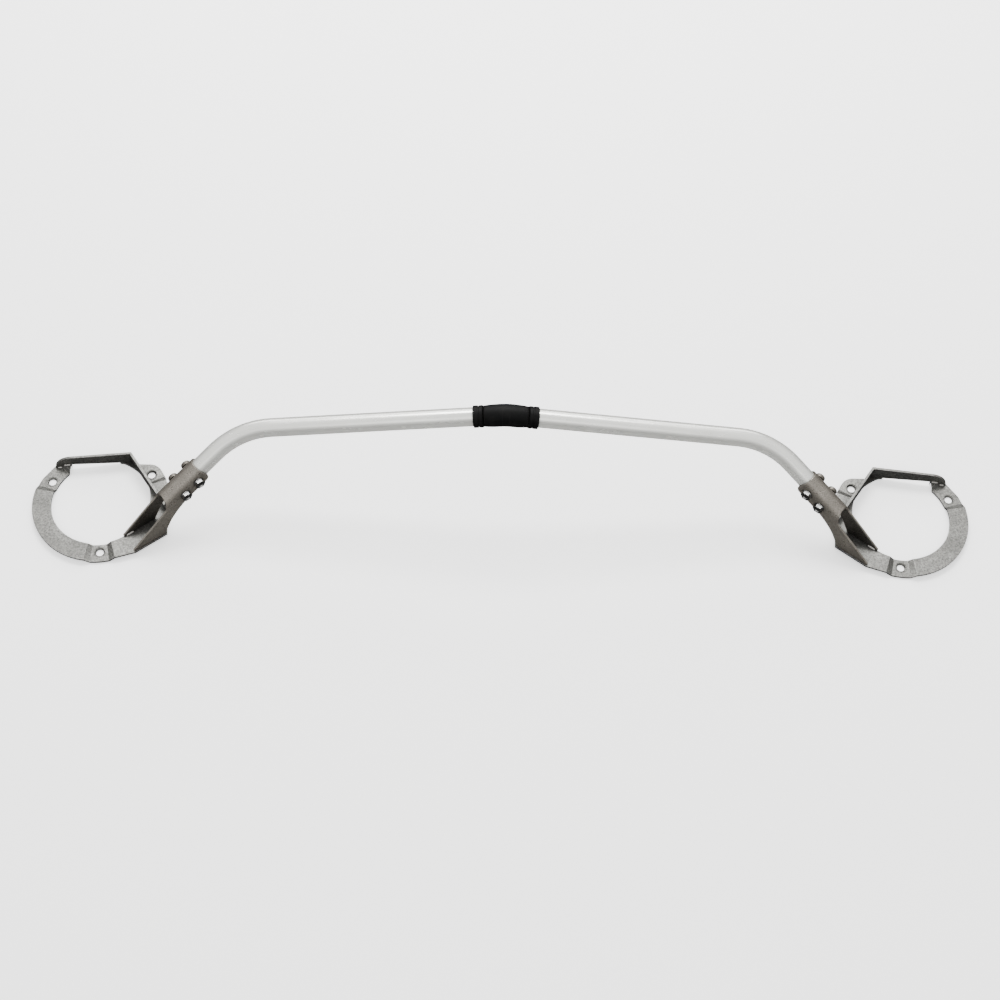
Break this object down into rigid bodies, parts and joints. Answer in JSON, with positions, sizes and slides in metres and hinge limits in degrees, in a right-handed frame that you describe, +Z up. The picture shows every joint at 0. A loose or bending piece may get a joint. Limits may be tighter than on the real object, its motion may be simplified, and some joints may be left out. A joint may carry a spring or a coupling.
{
  "type": "strut tower bar",
  "caption": "Cross-car suspension brace: ring plates with stud holes at each end, folded saddle brackets, bent aluminium tubes and a booted rod-end joint in the middle.",
  "frame": {"origin": "middle of the bar's length and depth, on the level of the bolting pads' undersides", "axes": "+X along the bar from the fork side to the rod-end side, +Y towards the stiffener strips, +Z up from the strut towers"},
  "size_m": [1.235, 0.1558, 0.1754],
  "materials": {
    "plated_sheet": "zinc plated sheet, satin with fine speckle",
    "bracket_steel": "dark plated sheet, satin",
    "tube_aluminium": "satin drawn tube",
    "turned_aluminium": "turned, satin",
    "zinc_hardware": "bright zinc plate",
    "nut_steel": "dark plated steel",
    "inner_steel": "plain steel",
    "liner_plastic": "woven low-friction liner",
    "boot_rubber": "matt black"
  },
  "bodies": {
    "left_half": {"left_ring_plate": "plated_sheet", "left_stiffener_strip": "plated_sheet", "left_saddle_bracket": "bracket_steel", "left_bar_tube": "tube_aluminium", "left_clamp_bolts": "zinc_hardware", "left_weld_nuts": "nut_steel", "left_crush_sleeves": "inner_steel", "joint_fork": "turned_aluminium", "pivot_pin": "inner_steel", "pivot_spacers": "inner_steel", "rubber_boot": "boot_rubber"},
    "ball": {"joint_ball": "inner_steel"},
    "liner": {"bearing_liner": "liner_plastic"},
    "right_half": {"right_ring_plate": "plated_sheet", "right_stiffener_strip": "plated_sheet", "right_saddle_bracket": "bracket_steel", "right_bar_tube": "tube_aluminium", "right_clamp_bolts": "zinc_hardware", "right_weld_nuts": "nut_steel", "right_crush_sleeves": "inner_steel", "bearing_race": "inner_steel", "rod_end_housing": "inner_steel", "jam_nut": "zinc_hardware", "threaded_bung": "turned_aluminium"}
  },
  "joints": [
    {"name": "joint_pitch", "type": "hinge", "parent": "left_half", "child": "ball", "pos_m": [0, 0.05679, 0.161], "axis": [0, 1, 0], "range_deg": [-10, 10], "deforming": ["rubber_boot"]},
    {"name": "joint_yaw", "type": "hinge", "parent": "ball", "child": "liner", "pos_m": [0, 0.05679, 0.161], "axis": [0, 0, 1], "range_deg": [-6, 6]},
    {"name": "joint_twist", "type": "hinge", "parent": "liner", "child": "right_half", "pos_m": [0, 0.05679, 0.161], "axis": [1, 0, 0], "range_deg": [-6, 6]}
  ]
}
